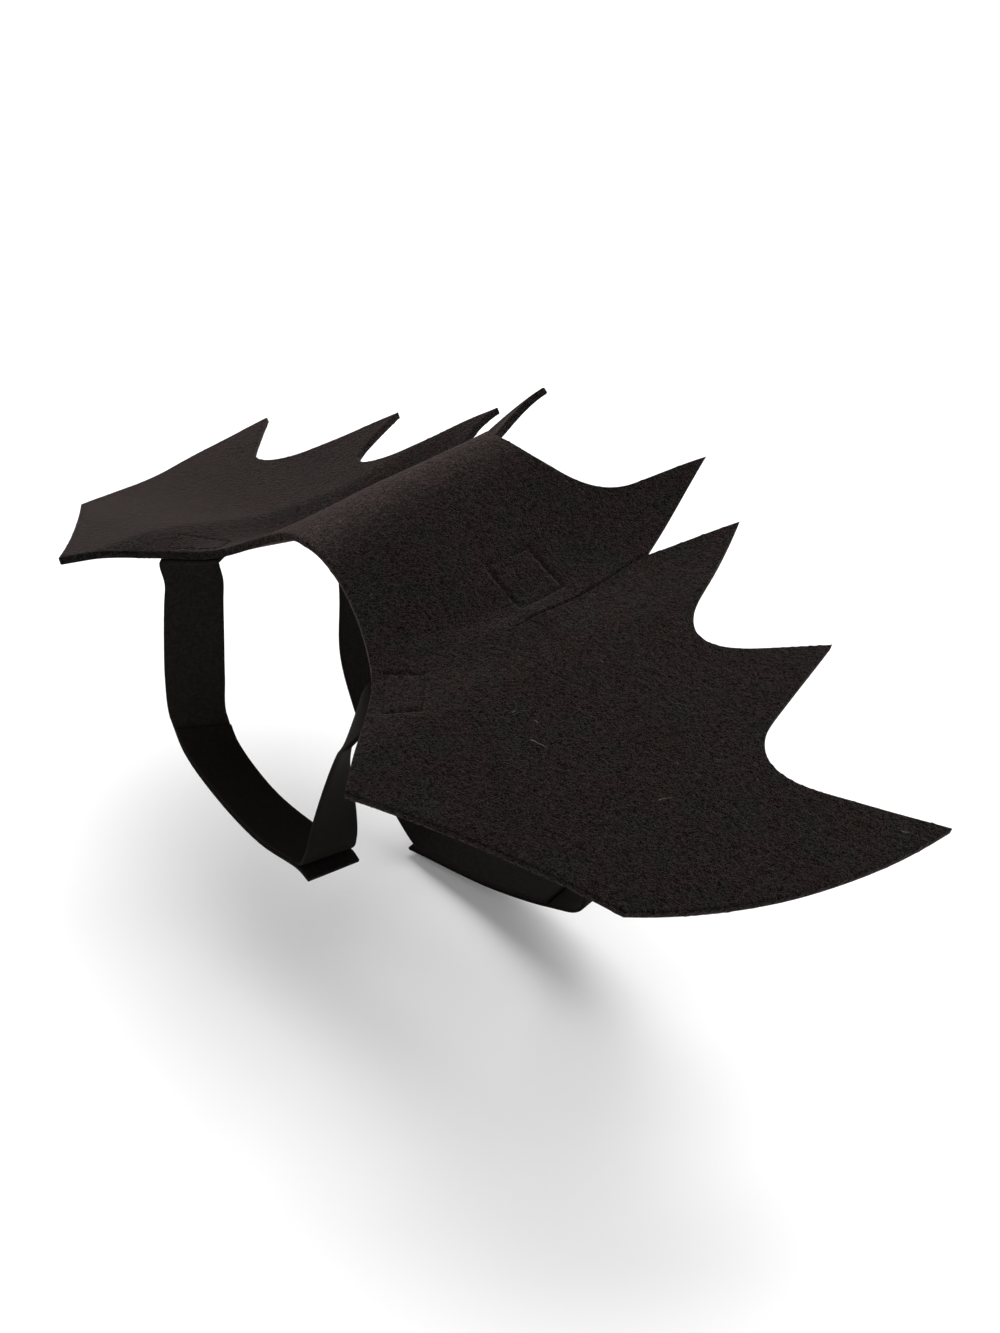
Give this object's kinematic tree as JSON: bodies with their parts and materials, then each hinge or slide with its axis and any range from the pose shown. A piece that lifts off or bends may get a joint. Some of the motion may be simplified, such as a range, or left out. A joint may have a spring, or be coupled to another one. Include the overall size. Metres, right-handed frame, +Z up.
{
  "type": "pet bat wings",
  "caption": "Felt bat wings for a small pet: a scalloped sheet bent over the back with a slit dart in each wing, and tape straps that close round the neck and chest.",
  "frame": {"origin": "underside of the felt's crest at the middle of its length, where the wings sit on the wearer's back", "axes": "+X to the wearer's left, +Y from head to tail, +Z up"},
  "size_m": [0.448, 0.2205, 0.2213],
  "materials": {
    "felt": "stiff needled felt, fibrous and matt, with cut edges",
    "loop_tape": "soft brushed loop tape, matt",
    "hook_tape": "close woven hook tape, slight sheen"
  },
  "bodies": {
    "root": {"wing_panel": "felt", "neck_strap_right": "loop_tape", "neck_strap_left": "hook_tape", "chest_strap_right": "loop_tape", "chest_strap_left": "hook_tape"}
  },
  "joints": []
}
